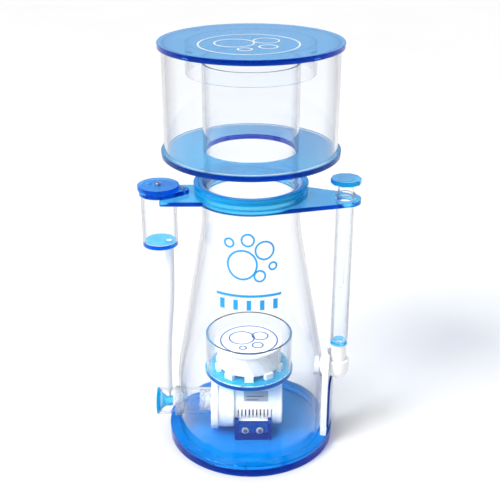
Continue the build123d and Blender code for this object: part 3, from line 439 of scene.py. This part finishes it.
def acrylic(name, let_through, density, shade, haze, body, edge_shade, shine, edge_shade_from=0.92):
    """Polished acrylic: its colour comes from the depth of plastic that light crosses, so its edges
    look deeper. let_through and density set that colour, and shade tints its shadow. body is the
    plastic's pale colour, which the lit and shaded copies paint lighter or darker, and haze is how
    much of it shows: extra on level faces, and everywhere. edge_shade is painted shade that tints
    light that only skims a wall, in full from edge_shade_from on; shine tints what it mirrors head-on."""
    material, add, link, out = node_material(name)
    clear = add("ShaderNodeBsdfPrincipled")
    skim = add("ShaderNodeLayerWeight")
    skim.inputs["Blend"].default_value = 0.35
    # Painted shade on the edges: the colour darkens where the view skims a wall.
    tint = add("ShaderNodeValToRGB")
    tint.color_ramp.elements[0].position = 0.35
    tint.color_ramp.elements[0].color = (0.98, 0.99, 1.0, 1)
    tint.color_ramp.elements[1].position = edge_shade_from
    tint.color_ramp.elements[1].color = (*edge_shade, 1)
    link(skim.outputs["Facing"], tint.inputs["Fac"])
    link(tint.outputs["Color"], clear.inputs["Base Color"])
    clear.inputs["Transmission Weight"].default_value = 1.0
    clear.inputs["IOR"].default_value = 1.49
    polish = fine_noise(add, link, 60.0)
    link(spread(add, link, polish.outputs["Fac"], 0.0, 0.025), clear.inputs["Roughness"])
    clear.inputs["Specular Tint"].default_value = (*shine, 1)
    wave = fine_noise(add, link, 9.0, 1.0)
    link(bump(add, link, wave.outputs["Fac"], 0.05, 0.002), clear.inputs["Normal"])
    film = add("ShaderNodeBsdfPrincipled")
    film.inputs["Base Color"].default_value = (*body, 1)
    film.inputs["Roughness"].default_value = 0.08
    film.inputs["Specular Tint"].default_value = (*shine, 1)
    facing = add("ShaderNodeNewGeometry")
    upright = add("ShaderNodeSeparateXYZ")
    link(facing.outputs["True Normal"], upright.inputs[0])
    level = add("ShaderNodeMath")
    level.operation = "POWER"
    size = add("ShaderNodeMath")
    size.operation = "ABSOLUTE"
    link(upright.outputs["Z"], size.inputs[0])
    link(size.outputs[0], level.inputs[0])
    level.inputs[1].default_value = 6.0
    amount = add("ShaderNodeMath")
    amount.operation = "MULTIPLY_ADD"
    link(level.outputs[0], amount.inputs[0])
    amount.inputs[1].default_value = haze[0]
    amount.inputs[2].default_value = haze[1]
    surface = add("ShaderNodeMixShader")
    link(amount.outputs[0], surface.inputs[0])
    link(clear.outputs[0], surface.inputs[1])
    link(film.outputs[0], surface.inputs[2])
    shadow = add("ShaderNodeBsdfTransparent")
    shadow.inputs["Color"].default_value = (*shade, 1)
    path = add("ShaderNodeLightPath")
    seen = add("ShaderNodeMixShader")
    link(path.outputs["Is Shadow Ray"], seen.inputs[0])
    link(surface.outputs[0], seen.inputs[1])
    link(shadow.outputs[0], seen.inputs[2])
    volume = add("ShaderNodeVolumeAbsorption")
    volume.inputs["Color"].default_value = (*let_through, 1)
    volume.inputs["Density"].default_value = density
    link(seen.outputs[0], out.inputs["Surface"])
    link(volume.outputs[0], out.inputs["Volume"])
    return material


def moulded(name, colour, roughness, subsurface=0.0):
    """Moulded plastic: a fine even grain, with slight variation of tone and gloss."""
    material, add, link, out = node_material(name)
    shader = add("ShaderNodeBsdfPrincipled")
    tone = fine_noise(add, link, 25.0)
    blend = add("ShaderNodeMix")
    blend.data_type = "RGBA"
    blend.inputs["A"].default_value = (*(channel * 0.93 for channel in colour), 1)
    blend.inputs["B"].default_value = (*colour, 1)
    link(spread(add, link, tone.outputs["Fac"], 0.0, 1.0), blend.inputs["Factor"])
    link(blend.outputs["Result"], shader.inputs["Base Color"])
    gloss = fine_noise(add, link, 120.0)
    rough = spread(add, link, gloss.outputs["Fac"], roughness * 0.8, roughness * 1.25)
    link(rough, shader.inputs["Roughness"])
    skin = fine_noise(add, link, 900.0, 2.0)
    link(bump(add, link, skin.outputs["Fac"], 0.15, 0.0002), shader.inputs["Normal"])
    shader.inputs["Subsurface Weight"].default_value = subsurface
    shader.inputs["Subsurface Radius"].default_value = (0.004, 0.004, 0.005)
    link(shader.outputs[0], out.inputs["Surface"])
    return material


def steel(name):
    """Bright stainless steel with fine turning marks."""
    material, add, link, out = node_material(name)
    shader = add("ShaderNodeBsdfPrincipled")
    shader.inputs["Base Color"].default_value = (0.6, 0.61, 0.64, 1)
    shader.inputs["Metallic"].default_value = 1.0
    marks = fine_noise(add, link, 900.0, 3.0, (1, 1, 6))
    link(spread(add, link, marks.outputs["Fac"], 0.16, 0.34), shader.inputs["Roughness"])
    link(bump(add, link, marks.outputs["Fac"], 0.1, 0.0001), shader.inputs["Normal"])
    link(shader.outputs[0], out.inputs["Surface"])
    return material


def silicone(name, colour, clear, roughness, glow=0.0):
    """Milky silicone: partly clear, with faint lengthwise marks. glow is painted light: an emission in its own colour
    that evens out its shading.
    """
    material, add, link, out = node_material(name)
    shader = add("ShaderNodeBsdfPrincipled")
    shader.inputs["Base Color"].default_value = (*colour, 1)
    shader.inputs["Transmission Weight"].default_value = clear
    shader.inputs["IOR"].default_value = 1.41
    shader.inputs["Emission Color"].default_value = (*colour, 1)
    shader.inputs["Emission Strength"].default_value = glow
    marks = fine_noise(add, link, 400.0, 2.0, (1, 1, 0.05))
    rough = spread(add, link, marks.outputs["Fac"], roughness * 0.8, roughness * 1.2)
    link(rough, shader.inputs["Roughness"])
    link(bump(add, link, marks.outputs["Fac"], 0.08, 0.0002), shader.inputs["Normal"])
    link(shader.outputs[0], out.inputs["Surface"])
    return material


def paper_white(name):
    """The studio's floor: plain and pale, with a trace of tone."""
    material, add, link, out = node_material(name)
    shader = add("ShaderNodeBsdfPrincipled")
    tone = fine_noise(add, link, 2.0)
    level = spread(add, link, tone.outputs["Fac"], 0.93, 0.95)
    colour = add("ShaderNodeCombineColor")
    for channel in ("Red", "Green", "Blue"):
        link(level, colour.inputs[channel])
    link(colour.outputs[0], shader.inputs["Base Color"])
    shader.inputs["Roughness"].default_value = 0.7
    shader.inputs["Emission Color"].default_value = (1, 1, 1, 1)
    shader.inputs["Emission Strength"].default_value = 0.03
    link(shader.outputs[0], out.inputs["Surface"])
    return material


# ---------------------------------------------------------------- build

studio_settings()
make_camera()

HOSE_ROUTE = [
    (-0.1176, -0.0093, 0.3216),
    (-0.1176, -0.0093, 0.2620),
    (-0.1222, -0.0104, 0.2000),
    (-0.1275, -0.0120, 0.1380),
    (-0.1275, -0.0120, 0.0800),
]
hose, hose_line = tube_along("air_hose_skin", HOSE_ROUTE, HOSE_DIAMETER / 2, "stand")
# The hose's glow is painted light, to even out its shading.
hose.data.materials.append(silicone("hose_silicone", (0.72, 0.74, 0.8), 0.1, 0.4, 0.22))
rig.replaces(hose, "air_hose")
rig.slot(hose, "hose_silicone")
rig.cord(hose, exit=HOSE_ROUTE[0], length=HOSE_LENGTH, diameter=HOSE_DIAMETER, far_end="object",
        stiffness="medium", lay="hanging", path=hose_line)


def blue_sheet(name, density, haze, body):
    """The skimmer's blue acrylic sheet: the plain finish and its copies with painted light and shade."""
    return acrylic(name, (0.06, 0.765, 0.965), density, shade=(0.36, 0.46, 0.62), haze=haze,
                   body=body, edge_shade=(0.7, 0.85, 1.0), shine=(0.1, 0.55, 1.0))


def clear_tube(name, density, shade, edge_shade_from):
    """Clear acrylic with painted shade: grey edges where the view skims the tube's wall."""
    return acrylic(name, (0.5, 0.55, 0.8), density, shade=shade, haze=(0.0, 0.0),
                   body=(0.85, 0.87, 0.93), edge_shade=(0.16, 0.17, 0.22), shine=(0.3, 0.33, 0.45),
                   edge_shade_from=edge_shade_from)


FINISHES = {
    "blue_acrylic": blue_sheet("blue_acrylic", 190.0, (0.35, 0.0), (0.01, 0.40, 0.95)),
    "clear_acrylic": clear_tube("clear_acrylic", 6.0, (0.95, 0.96, 0.97), 0.92),
    "white_plastic": moulded("white_plastic", (0.93, 0.94, 0.96), 0.3, subsurface=0.1),
    "steel": steel("stainless_steel"),
    "seal_rubber": silicone("seal_silicone", (0.45, 0.66, 0.92), 0.3, 0.4),
    "dark_plastic": moulded("dark_plastic", (0.03, 0.05, 0.12), 0.4),
    "ceramic": moulded("ceramic", (0.8, 0.79, 0.76), 0.15),
    "magnet": moulded("ferrite", (0.04, 0.04, 0.045), 0.45),
    "motor_core": moulded("potted_core", (0.12, 0.09, 0.06), 0.5),
    "grey_label": moulded("label_film", (0.42, 0.44, 0.47), 0.4),
}

# The same blue sheet in copies with painted light and shade: paler where light comes through from
# below and deeper where it lies on something. A clear tube copy with darker painted edges, and the
# finishes of a few single pieces.
lit_pale_sheet = blue_sheet("blue_acrylic_lit_pale", 200.0, (0.32, 0.0), (0.03, 0.52, 0.95))
shaded_cup_sheet = blue_sheet("blue_acrylic_shaded_cup", 265.0, (0.45, 0.0), (0.03, 0.36, 0.58))
lit_cyan_sheet = blue_sheet("blue_acrylic_lit_cyan", 200.0, (0.38, 0.0), (0.01, 0.62, 1.0))
lit_plate_sheet = blue_sheet("blue_acrylic_lit_plate", 310.0, (0.42, 0.0), (0.01, 0.72, 1.0))
lit_base_sheet = blue_sheet("blue_acrylic_lit_base", 290.0, (0.34, 0.0), (0.0, 0.48, 0.95))
# The bright copy paints light on the collar rings, the bell and the level parts; the deep copy paints shade, a navy
# film on the plates by the pump and the outlet.
lit_bright_sheet = blue_sheet("blue_acrylic_lit_bright", 120.0, (0.1, 0.35), (0.01, 0.66, 1.0))
shaded_deep_sheet = blue_sheet("blue_acrylic_shaded_deep", 330.0, (0.2, 0.35), (0.0, 0.045, 0.33))
edge_shaded_tube_acrylic = clear_tube("clear_acrylic_edge_shaded_tube", 10.0, (0.93, 0.94, 0.96), 0.72)
milky = silicone("milky_silicone", (0.9, 0.92, 0.95), 0.85, 0.25)
light_plastic = moulded("white_plastic_thin", (0.95, 0.96, 0.97), 0.3, subsurface=0.3)
OWN_FINISH = {
    "lid": lit_pale_sheet, "cup_floor": shaded_cup_sheet, "bubble_plate": lit_plate_sheet,
    "bracket_plate": lit_cyan_sheet, "silencer_floor": lit_cyan_sheet,
    "base_plate": lit_base_sheet, "body_flange": lit_base_sheet,
    "collar_upper_ring": lit_bright_sheet, "collar_lower_ring": lit_bright_sheet,
    "intake_bell": lit_bright_sheet, "standpipe_end_ring": lit_bright_sheet, "level_knob": lit_bright_sheet,
    "pump_front_plate": shaded_deep_sheet, "pump_shelf": shaded_deep_sheet, "outlet_backing_plate": shaded_deep_sheet,
    "silencer_tube": edge_shaded_tube_acrylic, "standpipe": edge_shaded_tube_acrylic,
    "intake_grommet": milky, "intake_coupling": milky,
    "outlet_port": light_plastic, "outlet_neck": light_plastic,
    # The bracket's washers are drawn mid grey, and its screws dark grey in place of their slot's steel.
    "bracket_washers": moulded("washer_mid_grey", (0.46, 0.5, 0.58), 0.4),
    "bracket_screws": moulded("screw_dark_grey", (0.12, 0.12, 0.14), 0.35),
}
SEE_THROUGH_SLOTS = ("blue_acrylic", "clear_acrylic")

for entry in frame["record"]["subparts"]:
    node, slot = entry["node"], entry["material_slot"]
    if node == "air_hose":
        continue
    mesh = NODES[node].data
    mesh.materials.clear()
    mesh.materials.append(OWN_FINISH.get(node, FINISHES[slot]))
    if slot in SEE_THROUGH_SLOTS or OWN_FINISH.get(node) is milky:
        shrink(node)

# Plain printed marks: bubbles and a level line on the cone, bubbles on the lid and the diffuser,
# and two bars on the pump's label.
cyan_ink = moulded("cyan_ink", (0.005, 0.37, 0.86), 0.35)
white_ink = moulded("white_ink", (0.93, 0.96, 0.98), 0.35)
blue_ink = moulded("blue_ink", (0.015, 0.11, 0.38), 0.35)
grey_ink = moulded("grey_ink", (0.16, 0.17, 0.2), 0.45)


def on_front(node, start_y):
    """Lays x and z on the front of a node, seen along y from start_y."""
    front = surface_of(node, (0, 1, 0))

    def lay(u, v, height):
        place, normal = front((u, start_y, v))
        return place + height * normal
    return lay


def on_level(z):
    """Lays x and y on a level face at the height z."""
    return lambda u, v, height: Vector((u, v, z + height))


on_cone = on_front("cone_body", -0.2)
ribbon("cone_bubbles",
       [ring(-0.012, 0.318, 0.0200), ring(0.0185, 0.338, 0.0125), ring(0.012, 0.3025, 0.0075),
        ring(-0.030, 0.3475, 0.0060), ring(-0.0045, 0.353, 0.0085), ring(0.030, 0.315, 0.0050)],
       0.0026, on_cone, "stand", cyan_ink)
ribbon("cone_level_mark", [stroke(-0.048, 0.274, 0.042, 0.274)], 0.0034, on_cone, "stand", cyan_ink)
ribbon("cone_level_ticks",
       [stroke(u, 0.254, u, 0.268) for u in (-0.040, -0.0215, -0.003, 0.0155, 0.034)],
       0.0062, on_cone, "stand", cyan_ink)
ribbon("lid_rings",
       [ring(-0.003, -0.026, 0.066, 128), ring(-0.022, -0.020, 0.026), ring(0.020, -0.004, 0.017),
        ring(0.022, -0.044, 0.012), ring(-0.008, -0.060, 0.009)],
       0.0024, on_level(LID_TOP), "lid", white_ink)
ribbon("diffuser_rings",
       [ring(-0.003, -0.002, 0.043, 128), ring(-0.014, 0.004, 0.019), ring(0.014, 0.010, 0.012),
        ring(0.010, -0.018, 0.008), ring(-0.012, -0.026, 0.005)],
       0.0024, on_level(DIFFUSER_TOP), "stand", blue_ink)
ribbon("label_bars", [stroke(-0.007, 0.0765, 0.012, 0.0765), stroke(-0.007, 0.0805, 0.019, 0.0805)],
       0.0014, on_front("rating_plate", -0.1), "stand", grey_ink)

make_world()
key_light("key_light", (-1.0, -0.75, 1.25), math.radians(26), 2.4)
area_light("rim_light", (-0.8, -1.8, 2.2), (0, 0, 0.3), (0.16, 0.3), 5.0)
area_light("back_light", (0.9, 1.4, 1.5), (0, 0, 0.35), (1.2, 0.9), 4.0)

floor_mesh = bpy.data.meshes.new("floor")
corners = [(x * FLOOR_HALF, y * FLOOR_HALF, -FLOOR_DROP)
           for x, y in ((-1, -1), (1, -1), (1, 1), (-1, 1))]
floor_mesh.from_pydata(corners, [], [(0, 1, 2, 3)])
floor = bpy.data.objects.new("floor", floor_mesh)
floor_mesh.materials.append(paper_white("studio_floor"))
bpy.context.scene.collection.objects.link(floor)
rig.stage(floor)

visual_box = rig.bounds()
with open("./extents.json", "w") as sizes:
    json.dump({"cad": [list(corner) for corner in cad_box],
               "visual": [list(corner) for corner in visual_box]}, sizes)
